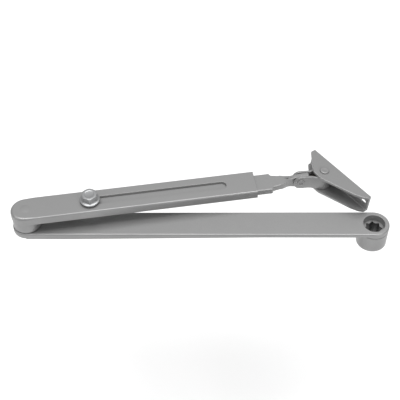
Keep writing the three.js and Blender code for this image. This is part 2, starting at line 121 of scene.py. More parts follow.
def fillet(outline: Sequence[Point], radii: Sequence[float], steps: int = 6) -> list[Point]:
    """Rounds the corners of a closed outline.

    Args:
        outline: The corners in order.
        radii: One radius for each corner, 0 to leave it sharp.
        steps: Chords in each rounded corner.

    Returns:
        The outline with its corners rounded.
    """
    result: list[Point] = []
    count = len(outline)
    for k, (corner, radius) in enumerate(zip(outline, radii)):
        here = Vector(corner)
        back = (Vector(outline[k - 1]) - here).normalized()
        ahead = (Vector(outline[(k + 1) % count]) - here).normalized()
        half = back.angle(ahead) / 2
        if radius <= 0 or half > math.radians(89.5):
            result.append((here.x, here.y))
            continue
        reach = radius / math.tan(half)
        centre = here + (back + ahead).normalized() * (radius / math.sin(half))
        first = here + back * reach - centre
        last = here + ahead * reach - centre
        sweep = first.angle_signed(last)
        for step in range(steps + 1):
            turn = Matrix.Rotation(-sweep * step / steps, 2)
            point = centre + turn @ first
            result.append((point.x, point.y))
    return result


def inset(outline: Sequence[Point], depths: Sequence[float]) -> list[Point]:
    """Moves an anticlockwise outline inwards.

    Args:
        outline: The points in order.
        depths: How far each point moves in, square to the edges beside it.

    Returns:
        The smaller outline.
    """
    result: list[Point] = []
    count = len(outline)
    for k, depth in enumerate(depths):
        here = Vector(outline[k])
        before = (here - Vector(outline[k - 1])).normalized()
        after = (Vector(outline[(k + 1) % count]) - here).normalized()
        inward = Vector((-before.y - after.y, before.x + after.x)).normalized()
        mitre = max(0.3, inward.dot(Vector((-after.y, after.x))))
        moved = here + inward * (depth / mitre)
        result.append((moved.x, moved.y))
    return result


# ---- solids ----------------------------------------------------------------------------------


class Join(Enum):
    """Ways of putting two solids together."""

    ADD = "UNION"
    CUT = "DIFFERENCE"
    KEEP = "INTERSECT"


class Solid:
    """A closed mesh in millimetres."""

    def __init__(self, mesh: bmesh.types.BMesh) -> None:
        """Takes over the mesh."""
        self.mesh = mesh

    @classmethod
    def prism(cls, outline: Sequence[Point], low: float, high: float) -> Solid:
        """Straight prism of an outline in the XY plane.

        Args:
            outline: Closed outline, either way round.
            low, high: Heights of its two ends.

        Returns:
            The prism.
        """
        mesh = bmesh.new()
        base = [mesh.verts.new((x, y, low)) for x, y in outline]
        face = mesh.faces.new(base)
        face.normal_update()
        if face.normal.z > 0:
            face.normal_flip()
        grown = bmesh.ops.extrude_face_region(mesh, geom=[face])
        top = [v for v in grown["geom"] if isinstance(v, bmesh.types.BMVert)]
        bmesh.ops.translate(mesh, verts=top, vec=(0, 0, high - low))
        bmesh.ops.recalc_face_normals(mesh, faces=mesh.faces)
        return cls(mesh)

    @classmethod
    def pressed(
        cls,
        outline: Sequence[Point],
        low: float,
        high: float,
        rim: Callable[[Point], float],
        foot: Callable[[Point], float] | None = None,
        steps: int = 6,
    ) -> Solid:
        """Prism whose upper and lower rims are rounded, with a radius that may vary round it.

        Args:
            outline: Closed outline, anticlockwise.
            low, high: Heights of its two ends.
            rim: Radius of the upper rim at a point of the outline.
            foot: Radius of the lower rim, or None for a sharp one.
            steps: Strips in each rounding.

        Returns:
            The rounded prism.
        """
        quarter = [math.pi / 2 * k / steps for k in range(steps + 1)]
        rings: list[list[tuple[float, float, float]]] = []
        if foot is None:
            rings.append([(x, y, low) for x, y in outline])
        else:
            for a in quarter:
                radii = [foot(p) for p in outline]
                inner = inset(outline, [r * (1 - math.sin(a)) for r in radii])
                rings.append([(x, y, low + r * (1 - math.cos(a))) for (x, y), r in zip(inner, radii)])
        for a in reversed(quarter):
            radii = [rim(p) for p in outline]
            inner = inset(outline, [r * (1 - math.sin(a)) for r in radii])
            rings.append([(x, y, high - r * (1 - math.cos(a))) for (x, y), r in zip(inner, radii)])
        mesh = bmesh.new()
        made = [[mesh.verts.new(p) for p in ring] for ring in rings]
        mesh.faces.new(made[0][::-1])
        mesh.faces.new(made[-1])
        for lower, upper in zip(made, made[1:]):
            for k in range(len(lower)):
                n = (k + 1) % len(lower)
                mesh.faces.new([lower[k], lower[n], upper[n], upper[k]])
        return cls(mesh)

    @classmethod
    def side_prism(cls, outline: Sequence[Point], near: float, far: float) -> Solid:
        """Prism of an outline in the XZ plane, run from y = near to y = far."""
        solid = cls.prism(outline, -far, -near)
        return solid.move(Matrix.Rotation(math.radians(90), 4, "X"))

    @classmethod
    def turned(cls, profile: Sequence[Point], facets: int = FACETS) -> Solid:
        """Solid of revolution about Z.

        Args:
            profile: Points (radius, height) whose first and last lie on the axis.
            facets: Number of facets round.

        Returns:
            The turned solid.
        """
        mesh = bmesh.new()
        rings: list[list[bmesh.types.BMVert]] = []
        for radius, height in profile:
            if radius == 0:
                rings.append([mesh.verts.new((0, 0, height))])
                continue
            circle = arc(0, 0, radius, 0, 360 - 360 / facets, facets - 1)
            rings.append([mesh.verts.new((x, y, height)) for x, y in circle])
        for lower, upper in zip(rings, rings[1:]):
            for k in range(facets):
                following = (k + 1) % facets
                corners = [lower[k % len(lower)], lower[following % len(lower)]]
                corners += [upper[following % len(upper)], upper[k % len(upper)]]
                mesh.faces.new(list(dict.fromkeys(corners)))
        bmesh.ops.recalc_face_normals(mesh, faces=mesh.faces)
        return cls(mesh)

    @classmethod
    def disc(cls, radius: float, low: float, high: float) -> Solid:
        """Plain shaft or disc about Z."""
        return cls.turned([(0, low), (radius, low), (radius, high), (0, high)])

    def move(self, matrix: Matrix) -> Solid:
        """Moves the solid by a matrix and returns it."""
        self.mesh.transform(matrix)
        return self

    def shift(self, x: float, y: float, z: float) -> Solid:
        """Moves the solid along the axes and returns it."""
        return self.move(Matrix.Translation((x, y, z)))

    def along_y(self) -> Solid:
        """Turns a solid built about Z to lie along Y."""
        return self.move(Matrix.Rotation(math.radians(90), 4, "X"))

    def combine(self, other: Solid, how: Join) -> Solid:
        """Adds, cuts or intersects with another solid.

        Args:
            other: The second solid, which is used up.
            how: What to do.

        Returns:
            This solid with the result in it.
        """
        pair = []
        for solid in (self, other):
            data = bpy.data.meshes.new("tool")
            solid.mesh.to_mesh(data)
            solid.mesh.free()
            tool = bpy.data.objects.new("tool", data)
            bpy.context.scene.collection.objects.link(tool)
            pair.append(tool)
        modifier = pair[0].modifiers.new("combine", "BOOLEAN")
        modifier.operation = how.value
        modifier.object = pair[1]
        modifier.solver = "EXACT"
        graph = bpy.context.evaluated_depsgraph_get()
        result = bpy.data.meshes.new_from_object(pair[0].evaluated_get(graph))
        self.mesh = bmesh.new()
        self.mesh.from_mesh(result)
        bpy.data.meshes.remove(result)
        for tool in pair:
            data = tool.data
            bpy.data.objects.remove(tool)
            bpy.data.meshes.remove(data)
        bmesh.ops.remove_doubles(self.mesh, verts=self.mesh.verts, dist=0.004)
        return self

    def add(self, other: Solid) -> Solid:
        """Joins the other solid on."""
        return self.combine(other, Join.ADD)

    def cut(self, *others: Solid) -> Solid:
        """Takes the other solids away, one after another."""
        for other in others:
            self.combine(other, Join.CUT)
        return self

    def keep(self, other: Solid) -> Solid:
        """Keeps only what lies in both."""
        return self.combine(other, Join.KEEP)

    def round_edges(
        self,
        radius: float,
        chosen: Callable[[Vector, Vector], bool],
        segments: int = 5,
        sharper_than: float = 35.0,
    ) -> Solid:
        """Rounds the edges that a test picks.

        Args:
            radius: Radius of the rounding.
            chosen: Test of an edge's two ends.
            segments: Strips in the rounding.
            sharper_than: Least angle in degrees between the two faces.

        Returns:
            This solid.
        """
        least = math.radians(sharper_than)
        edges = [
            e
            for e in self.mesh.edges
            if len(e.link_faces) == 2
            and e.calc_face_angle(0) > least
            and chosen(e.verts[0].co, e.verts[1].co)
        ]
        bmesh.ops.bevel(
            self.mesh,
            geom=edges,
            offset=radius,
            offset_type="OFFSET",
            segments=segments,
            profile=0.5,
            affect="EDGES",
            clamp_overlap=False,
        )
        return self

    def soften(self, radius: float, segments: int = 2, sharper_than: float = 40.0) -> Solid:
        """Breaks every sharp edge with a small rounding."""
        return self.round_edges(radius, lambda a, b: True, segments, sharper_than)


@dataclass(frozen=True)
class Seat:
    """Where a finished piece goes: its body, the CAD node it stands for and its finish."""

    node: str
    body: str
    place: Matrix
    finish: bpy.types.Material


def install(solid: Solid, seat: Seat) -> bpy.types.Object:
    """Turns a solid into a scene object that stands for a CAD node.

    Args:
        solid: The piece, in millimetres and in its own drawing frame.
        seat: Where it goes.

    Returns:
        The new object.
    """
    solid.move(Matrix.Scale(MM, 4) @ seat.place)
    bmesh.ops.recalc_face_normals(solid.mesh, faces=solid.mesh.faces)
    data = bpy.data.meshes.new(f"{seat.node}_look")
    solid.mesh.to_mesh(data)
    solid.mesh.free()
    for face in data.polygons:
        face.use_smooth = True
    data.set_sharp_from_angle(angle=math.radians(38))
    data.materials.append(seat.finish)
    piece = bpy.data.objects.new(f"{seat.node}_look", data)
    bpy.context.scene.collection.objects.link(piece)
    normals = piece.modifiers.new("even_normals", "WEIGHTED_NORMAL")
    normals.keep_sharp = True
    normals.weight = 90
    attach(piece, seat.body)
    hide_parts(seat.node)
    LOG.info("%s: %d faces, on body %s", piece.name, len(data.polygons), seat.body)
    return piece


# ---- finishes --------------------------------------------------------------------------------


def linear(hex_colour: str) -> Colour:
    """Turns an sRGB hex colour such as #a0a0a0 into linear RGBA."""
    channels = [int(hex_colour[k : k + 2], 16) / 255 for k in (1, 3, 5)]
    lin = [c / 12.92 if c <= 0.04045 else ((c + 0.055) / 1.055) ** 2.4 for c in channels]
    return (lin[0], lin[1], lin[2], 1.0)


def add_node(
    tree: bpy.types.NodeTree,
    kind: str,
    settings: dict[str, object] | None = None,
    values: dict[str, object] | None = None,
    links: dict[str, bpy.types.NodeSocket] | None = None,
) -> bpy.types.Node:
    """Adds a shader node.

    Args:
        tree: The material's node tree.
        kind: Node type, without its ShaderNode prefix.
        settings: Node properties by name.
        values: Input values by socket name.
        links: Output sockets to join to inputs, by input name.

    Returns:
        The node.
    """
    made = tree.nodes.new(f"ShaderNode{kind}")
    for name, value in (settings or {}).items():
        setattr(made, name, value)
    for name, value in (values or {}).items():
        made.inputs[name].default_value = value
    for name, source in (links or {}).items():
        tree.links.new(source, made.inputs[name])
    return made


def noise(
    tree: bpy.types.NodeTree,
    place: bpy.types.NodeSocket,
    size_mm: float,
    detail: float,
    roughness: float,
) -> bpy.types.NodeSocket:
    """Adds a noise pattern.

    Args:
        tree: The material's node tree.
        place: The position on the piece, in metres.
        size_mm: Real size of the pattern's features.
        detail: How many finer layers it has.
        roughness: How strong the finer layers are.

    Returns:
        The pattern, about 0.3 to 0.7.
    """
    made = add_node(
        tree,
        "TexNoise",
        values={"Scale": 1 / (size_mm * MM), "Detail": detail, "Roughness": roughness},
        links={"Vector": place},
    )
    return made.outputs["Fac"]


def spread(
    tree: bpy.types.NodeTree, pattern: bpy.types.NodeSocket, low: float, high: float
) -> bpy.types.NodeSocket:
    """Stretches a noise pattern so that it runs from one value to another.

    Args:
        tree: The material's node tree.
        pattern: The noise.
        low, high: The values to run between.

    Returns:
        The stretched pattern.
    """
    made = add_node(
        tree,
        "MapRange",
        values={"From Min": 0.3, "From Max": 0.7, "To Min": low, "To Max": high},
        links={"Value": pattern},
    )
    return made.outputs["Result"]


@dataclass(frozen=True)
class Finish:
    """A surface whose colour, gloss and relief drift over real distances."""

    name: str
    colour: str
    deeper: str
    metallic: float
    roughness: float
    roughness_drift: float
    grain_mm: float
    grain_height_mm: float
    drift_mm: float
    specks: float = 0.0
    speck_mm: float = 0.5
    # Painted shade in a bore: colour within this radius of the Z axis and below this height is scaled down
    # by the factor.
    painted_shade_within_mm: float = 0.0
    painted_shade_below_mm: float = 0.0
    painted_shade_factor: float = 0.25

    def paint_socket_shade(
        self, tree: bpy.types.NodeTree, place: bpy.types.NodeSocket, tint: bpy.types.NodeSocket
    ) -> bpy.types.Node:
        """Paints shade into the socket: darkens the colour round the spindle's axis, below its ledge.

        Args:
            tree: The material's node tree.
            place: The position on the piece.
            tint: The colour outside the bore.

        Returns:
            The node giving the colour.
        """
        flat = add_node(tree, "Mapping", values={"Scale": (1, 1, 0)}, links={"Vector": place})
        from_axis = add_node(
            tree,
            "VectorMath",
            settings={"operation": "LENGTH"},
            links={"Vector": flat.outputs["Vector"]},
        )
        blur = 0.2 * MM
        edge, ledge = self.painted_shade_within_mm * MM, self.painted_shade_below_mm * MM
        height = add_node(tree, "SeparateXYZ", links={"Vector": place})
        below = add_node(
            tree,
            "MapRange",
            values={"From Min": ledge - blur, "From Max": ledge, "To Min": self.painted_shade_factor, "To Max": 1.0},
            links={"Value": height.outputs["Z"]},
        )
        shade = add_node(
            tree,
            "MapRange",
            values={"From Min": edge - blur, "From Max": edge, "To Max": 1.0},
            links={"Value": from_axis.outputs["Value"], "To Min": below.outputs["Result"]},
        )
        return add_node(
            tree,
            "VectorMath",
            settings={"operation": "SCALE"},
            links={"Vector": tint, "Scale": shade.outputs["Result"]},
        )

    def material(self) -> bpy.types.Material:
        """Builds the material.

        Returns:
            The material, named for the finish.
        """
        made = bpy.data.materials.new(self.name)
        made.use_nodes = True
        tree = made.node_tree
        tree.nodes.clear()
        place = add_node(tree, "TexCoord").outputs["Object"]
        drift = noise(tree, place, self.drift_mm, 3.0, 0.5)
        specks = noise(tree, place, self.speck_mm, 1.0, 0.7)
        grain = noise(tree, place, self.grain_mm, 2.0, 0.55)
        base = add_node(
            tree,
            "Mix",
            settings={"data_type": "RGBA"},
            values={"A": linear(self.colour), "B": linear(self.deeper)},
            links={"Factor": spread(tree, drift, 0.0, 1.0)},
        )
        tinted = add_node(
            tree,
            "VectorMath",
            settings={"operation": "SCALE"},
            links={
                "Vector": base.outputs["Result"],
                "Scale": spread(tree, specks, 1 - self.specks, 1 + self.specks),
            },
        )
        # Painted shade: the colour is darkened inside the drive socket, where shade falls in the recess.
        if self.painted_shade_within_mm:
            tinted = self.paint_socket_shade(tree, place, tinted.outputs["Vector"])
        gloss = spread(
            tree, drift, self.roughness - self.roughness_drift, self.roughness + self.roughness_drift
        )
        relief = add_node(
            tree,
            "Bump",
            values={"Strength": 0.6, "Distance": self.grain_height_mm * MM},
            links={"Height": grain},
        )
        shader = add_node(
            tree,
            "BsdfPrincipled",
            values={"Metallic": self.metallic},
            links={
                "Base Color": tinted.outputs["Vector"],
                "Roughness": gloss,
                "Normal": relief.outputs["Normal"],
            },
        )
        add_node(tree, "OutputMaterial", links={"Surface": shader.outputs["BSDF"]})
        return made


# Silver stoving enamel: fine aluminium flake in a satin lacquer, sprayed and baked. It gives the
# eye an even pale grey, soft wide highlights on the bends and a very slight orange peel.
SILVER_ENAMEL = Finish(
    name="silver_stoving_enamel",
    colour="#959595",
    deeper="#8e8e8e",
    metallic=0.42,
    roughness=0.39,
    roughness_drift=0.04,
    grain_mm=1.6,
    grain_height_mm=0.010,
    drift_mm=38.0,
    specks=0.04,
    speck_mm=0.45,
)
# The same enamel over a turned hub. Inside the drive socket, below its ledge, the colour is darkened to a
# quarter as painted shade for the recess.
HUB_ENAMEL = Finish(
    name="silver_enamel_on_turned_steel",
    colour="#949494",
    deeper="#8d8d8d",
    metallic=0.42,
    roughness=0.37,
    roughness_drift=0.04,
    grain_mm=1.2,
    grain_height_mm=0.010,
    drift_mm=22.0,
    specks=0.04,
    speck_mm=0.45,
    # Painted shade: colour darkened within 8.7 mm of the axis and below 16.6 mm, in the drive socket.
    painted_shade_within_mm=8.7,
    painted_shade_below_mm=16.6,
)
# Bright zinc plate with a clear passivate: a little brighter than the enamel, crisper on its edges.
ZINC_PLATE = Finish(
    name="bright_zinc_plate",
    colour="#a4a5a6",
    deeper="#979899",
    metallic=0.6,
    roughness=0.40,
    roughness_drift=0.05,
    grain_mm=0.6,
    grain_height_mm=0.006,
    drift_mm=5.0,
    specks=0.05,
    speck_mm=0.4,
)
# Spring steel, plated: a little darker than the bolt.
PLATED_SPRING = Finish(
    name="zinc_plated_spring_steel",
    colour="#8e9092",
    deeper="#7c7f81",
    metallic=0.8,
    roughness=0.40,
    roughness_drift=0.05,
    grain_mm=0.5,
    grain_height_mm=0.006,
    drift_mm=4.0,
    specks=0.05,
    speck_mm=0.4,
)
# Sintered bronze soaked in oil: dark brown-gold and porous, with pores about 0.3 mm across.
SINTERED_BRONZE = Finish(
    name="sintered_bronze",
    colour="#6f5a3c",
    deeper="#54432c",
    metallic=1.0,
    roughness=0.48,
    roughness_drift=0.08,
    grain_mm=0.3,
    grain_height_mm=0.02,
    drift_mm=3.0,
    specks=0.10,
    speck_mm=0.3,
)
# Moulded acetal: dense black plastic with a dull skin.
ACETAL = Finish(
    name="moulded_acetal",
    colour="#1b1c1e",
    deeper="#232426",
    metallic=0.0,
    roughness=0.55,
    roughness_drift=0.05,
    grain_mm=0.8,
    grain_height_mm=0.008,
    drift_mm=6.0,
    specks=0.03,
    speck_mm=0.5,
)


@dataclass
class Palette:
    """The finishes as materials, each made once."""

    enamel: bpy.types.Material = field(default_factory=SILVER_ENAMEL.material)
    hub: bpy.types.Material = field(default_factory=HUB_ENAMEL.material)
    zinc: bpy.types.Material = field(default_factory=ZINC_PLATE.material)
    spring: bpy.types.Material = field(default_factory=PLATED_SPRING.material)
    bronze: bpy.types.Material = field(default_factory=SINTERED_BRONZE.material)
    acetal: bpy.types.Material = field(default_factory=ACETAL.material)


# ---- where the bodies lie --------------------------------------------------------------------


@dataclass(frozen=True)
class Places:
    """Drawing frames of the bodies, in millimetres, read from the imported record."""

    forearm: Matrix
    loop: Matrix
    shoe: Matrix

    @classmethod
    def read(cls, record: dict) -> Places:
        """Works out the frames from the joints and the shoe's mount.

        Args:
            record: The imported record.

        Returns:
            The frames.
        """
        joints = {j["name"]: j for j in record["behaviour"]["joints"]}
        along = Vector(joints["length_adjust"]["axis"])
        heading = math.atan2(along.y, along.x)
        elbow = Vector(joints["elbow"]["pos_m"]) / MM
        forearm = Matrix.Translation((elbow.x, elbow.y, 0)) @ Matrix.Rotation(heading, 4, "Z")
        rivet = Vector(joints["loop_tilt"]["pos_m"]) / MM
        pin_axis = Vector(joints["shoe_swivel"]["axis"])
        droop = math.acos(pin_axis.z)
        turned = Matrix.Rotation(heading, 4, "Z") @ Matrix.Rotation(droop, 4, "Y")
        loop = Matrix.Translation(rivet) @ turned
        outward = next(m for m in record["mounts"] if m["name"] == "shoe_web_face")["axis"]
        local = turned.inverted() @ Vector(outward)
        pin = Vector(joints["shoe_swivel"]["pos_m"]) / MM
        web = Matrix.Rotation(math.atan2(local.y, local.x) - math.pi / 2, 4, "Z")
        return cls(forearm, loop, Matrix.Translation(pin) @ turned @ web)


def heights(node: str) -> tuple[float, float]:
    """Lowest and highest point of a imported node, in millimetres."""
    low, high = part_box(node)
    return low.z / MM, high.z / MM


# ---- sub-assemblies --------------------------------------------------------------------------


@dataclass
class MainArm:
    """Forged bar and the square-drive hub under its end."""

    palette: Palette
    top: float
    thick_elbow: float
    length: float = 309.4
    radius: float = 13.75
    elbow_radius: float = 13.2
    thick_hub: float = 3.4
    taper_end: float = 100.0
    edge: float = 1.3
    bush_hole: float = 5.8
    counterbore: float = 9.75
    hub_radius: float = 13.7
    ledge: float = 16.6
    drive: float = 12.0
    groove_below_arm: float = 2.4
    groove_depth: float = 0.35
    groove_wall: float = 0.45
    hub_foot: float = 1.0

    def bar(self) -> Solid:
        """The bar with its taper, its rounded top edge and its two holes."""
        low = self.top - self.thick_elbow
        under = self.top - self.thick_hub
        half = FACETS // 2
        plan = arc(0, 0, self.radius, -90, 90, half)
        plan += arc(-self.length, 0, self.elbow_radius, 90, 270, half)
        bar = Solid.pressed(plan, low, self.top, lambda p: self.edge, self.foot)
        taper = [
            (-self.length + self.radius, low),
            (-self.taper_end, under),
            (self.radius + 5, under),
            (self.radius + 5, low - 5),
            (-self.length + self.radius, low - 5),
        ]
        bar.cut(Solid.side_prism(taper, -20, 20))
        bar.cut(Solid.disc(self.counterbore, low - 2, self.top + 2))
        bar.cut(Solid.disc(self.bush_hole, low - 2, self.top + 2).shift(-self.length, 0, 0))
        return bar.round_edges(0.3, self.on_rim, 3, 50)

    def foot(self, point: Point) -> float:
        """Radius of the bar's lower rim: large round the elbow, small along the sides."""
        return 1.9 if point[0] < -self.length else 0.6

    def on_rim(self, a: Vector, b: Vector) -> bool:
        """Picks the rim of the screw's hole."""
        middle = (a + b) / 2
        return math.hypot(middle.x, middle.y) < self.counterbore + 0.1 and a.z > self.top - 0.1

    def hub(self) -> Solid:
        """The hub: barrel with a turned groove, counterbore, screw seat and drive."""
        height = self.top - self.thick_hub
        foot = arc(self.hub_radius - self.hub_foot, self.hub_foot, self.hub_foot, -90, 0, 6)
        groove = height - self.groove_below_arm
        floor = self.hub_radius - self.groove_depth
        neck = self.hub_radius - 0.1
        line = [(self.hub_radius, groove - self.groove_wall), (floor, groove - 0.2)]
        line += [(floor, groove), (neck, groove + 0.25)]
        barrel = Solid.turned([(0, 0), *foot, *line, (neck, height), (0, height)])
        recess = Solid.disc(self.counterbore, self.ledge, self.top)
        square = Solid.prism(polygon(self.drive, 4, 0), -1, self.ledge + 1)
        square.add(Solid.prism(polygon(self.drive, 4, 45), -1, self.ledge + 1))
        return barrel.cut(recess, square)

    def build(self) -> None:
        """Makes both pieces."""
        home = Matrix.Identity(4)
        install(self.bar(), Seat("main_arm", "main_arm", home, self.palette.enamel))
        install(self.hub(), Seat("socket_hub", "main_arm", home, self.palette.hub))


@dataclass
class Forearm:
    """Slotted cover, elbow boss and the riveted elbow pin."""

    palette: Palette
    place: Matrix
    bottom: float
    top: float
    boss_bottom: float
    length: float = 206.2
    half: float = 12.8
    sheet: float = 2.2
    edge: float = 1.3
    elbow_edge: float = 2.6
    slot_start: float = 57.3
    slot_travel: float = 118.0
    slot_radius: float = 4.4
    pin_radius: float = 4.0
    boss_radius: float = 12.4

    def channel(self, half: float, length: float) -> list[Point]:
        """Plan of the channel: round over the elbow, square at its end."""
        runs = [0.0, 3.0, 6.0, 9.0]
        near = [(x, -half) for x in runs[1:]] + [(length, -half)]
        far = [(x, -y) for x, y in reversed(near)]
        return arc(0, 0, half, 90, 270, FACETS // 2) + near + far

    def rim(self, point: Point) -> float:
        """Radius of the cover's bend: drawn larger round the elbow than along the sides."""
        share = min(1.0, max(0.0, (9.0 - point[0]) / 11.0))
        return self.edge + (self.elbow_edge - self.edge) * share

    def cover(self) -> Solid:
        """The folded cover with its bend, slot and pin hole."""
        beyond = self.length + 12
        cover = Solid.pressed(
            self.channel(self.half, beyond), self.bottom, self.top, self.rim, lambda p: 0.3
        )
        under = self.top - self.sheet
        inner = self.channel(self.half - self.sheet, beyond + 5)
        room = Solid.pressed(inner, self.bottom - 5, under, lambda p: 0.7)
        last = self.slot_start + self.slot_travel
        slot = Solid.prism(obround(self.slot_start, last, self.slot_radius), under - 2, self.top + 2)
        far = self.length + 30
        square = [(self.length, -20), (far, -20), (far, 20), (self.length, 20)]
        end = Solid.prism(square, self.bottom - 10, self.top + 10)
        cover.cut(room, slot, end).round_edges(0.3, self.on_top, 3, 60)
        return cover.cut(Solid.disc(self.pin_radius + 0.02, under - 2, self.top + 2))

    def on_top(self, a: Vector, b: Vector) -> bool:
        """Picks the slot's upper rim and the upper edge of the open end."""
        return min(a.z, b.z) > self.top - 0.01

    def boss(self) -> Solid:
        """Turned block under the cover, with a step that enters it."""
        spigot = self.half - self.sheet - 0.3
        low, high = self.boss_bottom, self.bottom - 0.06
        foot = arc(self.boss_radius - 0.5, low + 0.5, 0.5, -90, 0, 3)
        shoulder = arc(self.boss_radius - 0.3, high - 0.3, 0.3, 0, 90, 3)
        under = self.top - self.sheet
        step = [(spigot, high), (spigot, under), (0, under)]
        body = Solid.turned([(0, low), *foot, *shoulder, *step])
        return body.cut(Solid.disc(self.pin_radius + 0.3, low - 1, under + 1))

    def pin(self) -> Solid:
        """Elbow pin, its top dressed flush with the cover, its head spun over below."""
        head = 14.4
        radius = self.pin_radius
        crown = [(radius, self.top - 0.1), (radius - 0.12, self.top - 0.02), (0, self.top)]
        spun = arc(radius + 1.2, head - 1.0, 1.2, -70, 0, 5)
        low = [(0, head - 2.2), (radius + 0.6, head - 2.2), *spun]
        return Solid.turned([*low, (radius + 2.4, head), (radius, head), *crown])

    def build(self) -> None:
        """Makes the three pieces."""
        enamel = self.palette.enamel
        install(self.cover(), Seat("forearm_cover", "forearm", self.place, enamel))
        install(self.boss(), Seat("elbow_boss", "forearm", self.place, self.palette.hub))
        install(self.pin(), Seat("elbow_pin", "forearm", self.place, enamel))


@dataclass
class Slide:
    """Channel that slides in the cover, its flanges pinched together into a tongue."""

    palette: Palette
    place: Matrix
    top: float
    rivet_height: float
    start: float = 42.0
    shoulder: float = 220.5
    half: float = 9.85
    neck: float = 7.3
    narrow: float = 5.7
    neck_length: float = 9.5
    web_point: float = 6.6
    pinch: float = 7.5
    tongue: float = 18.3
    tongue_half: float = 2.1
    tongue_height: float = 12.4
    sheet: float = 2.2
    height: float = 5.7
    bend: float = 0.9
    bolt_at: float = 57.3
    bolt_hole: float = 4.3
    rivet_from_tip: float = 7.9
    sleeve_radius: float = 3.7
    far_lag: float = 2.0

    @property
    def neck_end(self) -> float:
        """Elbow axis to where the flanges turn in."""
        return self.shoulder + self.neck_length

    @property
    def tongue_end(self) -> float:
        """Elbow axis to the tip of the tongue."""
        return self.neck_end + self.pinch + self.tongue

    def plan(self, depth: float, extra: float) -> list[Point]:
        """Plan of the channel with its shoulders.

        Args:
            depth: How far inside the outer faces.
            extra: How far it runs on past both ends.

        Returns:
            The outline, anticlockwise.
        """
        half, neck, narrow = self.half - depth, self.neck - depth, self.narrow - depth
        step = self.shoulder - depth / 2
        start, end = self.start - extra, self.neck_end + extra
        near = [(start, -half), (step, -half), (step + 1.5, -neck), (self.neck_end, -narrow)]
        near.append((end, -narrow))
        far = [(x, -y) for x, y in reversed(near)]
        return fillet(near + far, [0, 1.1, 1.4, 0, 0, 0, 0, 1.4, 1.1, 0], 5)

    def block(self, low: float, from_x: float, to_x: float) -> Solid:
        """Large block between two stations, for trimming ends."""
        plan = [(from_x, -20), (to_x, -20), (to_x, 20), (from_x, 20)]
        return Solid.prism(plan, low, self.top + 20)

    def flange_line(self, lag: float, steps: int = 14) -> list[Point]:
        """Outer face of a flange from the neck to the tip, bent in a smooth double curve."""
        begin = self.neck_end - 1
        finish = self.neck_end + self.pinch + 0.8 + lag
        rise = self.narrow - self.tongue_half
        line = []
        for k in range(steps + 1):
            t = k / steps
            ease = t * t * (3 - 2 * t)
            line.append((begin + (finish - begin) * t, self.narrow - rise * ease))
        return line + [(self.tongue_end, self.tongue_half)]

    def ear(self, side: int) -> Solid:
        """One flange carried on into the tongue; side is 1 for the far one, -1 for the near."""
        outer = self.flange_line(self.far_lag if side > 0 else 0.0)
        inner = []
        for (x, y), (xn, yn) in zip(outer, outer[1:]):
            slope = Vector((xn - x, yn - y)).normalized()
            inner.append((x + slope.y * self.sheet, y - slope.x * self.sheet))
        inner.append((self.tongue_end, self.tongue_half - self.sheet))
        inner = [(x, max(y, -0.04)) for x, y in inner]
        outline = [(x, y * side) for x, y in outer + inner[::-1]]
        return Solid.prism(outline, self.top - 20, self.top + 10)

    def side_view(self) -> list[Point]:
        """Outline of the flanges from the side, neck to tip."""
        low = self.rivet_height - 0.4 - self.tongue_height / 2
        high = low + self.tongue_height
        base = self.top - self.height
        back = self.neck_end - 2
        n = self.neck_end
        t = n + self.pinch
        lower = [(back, base), (n + 1, base - 0.4), (n + 6, low + 1.4), (t + 5, low)]
        tip = [(self.tongue_end, low), (self.tongue_end, high)]
        upper = [(t + 11, high - 0.2), (t + 4, high - 1.1), (t, high - 2.3), (n + 3, self.top)]
        upper.append((back, self.top))
        return fillet(lower + tip + upper, [0, 4, 6, 6, 1.2, 1.2, 12, 12, 5, 8, 0], 5)

    def shell(self) -> Solid:
        """The channel up to the end of its neck, open below and at both ends."""
        base = self.top - self.height
        under = self.top - self.sheet
        shell = Solid.pressed(self.plan(0, 8), base, self.top, lambda p: self.bend, lambda p: 0.25)
        room = Solid.pressed(self.plan(self.sheet, 14), base - 3, under, lambda p: 0.5)
        n = self.neck_end
        return shell.cut(room, self.block(0, n, n + 30), self.block(0, self.start - 30, self.start))

    def point(self) -> Solid:
        """The web where it runs on between the flanges to a point."""
        n = self.neck_end
        reach = self.narrow - self.sheet + 0.1
        near = [(n - 3, -reach), (n + 2.6, -reach), (n + self.web_point, -0.4)]
        plan = near + [(x, -y) for x, y in reversed(near)]
        return Solid.prism(fillet(plan, [0, 1.5, 0, 0, 1.5, 0], 4), self.top - self.sheet, self.top)

    def on_tongue(self, a: Vector, b: Vector) -> bool:
        """Picks the rims of the tongue beyond the web."""
        return min(a.x, b.x) > self.neck_end + self.web_point + 1.0

    def build(self) -> None:
        """Makes the slide."""
        slide = self.shell().add(self.point())
        for side in (1, -1):
            slide.add(self.ear(side).keep(Solid.side_prism(self.side_view(), -20, 20)))
        slide.round_edges(0.3, self.on_tongue, 2, 60)
        rivet = self.tongue_end - self.rivet_from_tip
        bore = Solid.disc(self.sleeve_radius + 0.3, -20, 20).along_y()
        slide.cut(Solid.disc(self.bolt_hole, 20, self.top + 2).shift(self.bolt_at, 0, 0))
        slide.cut(bore.shift(rivet, 0, self.rivet_height))
        seat = Seat("slide_channel", "slide", self.place, self.palette.enamel)
        install(slide, seat)


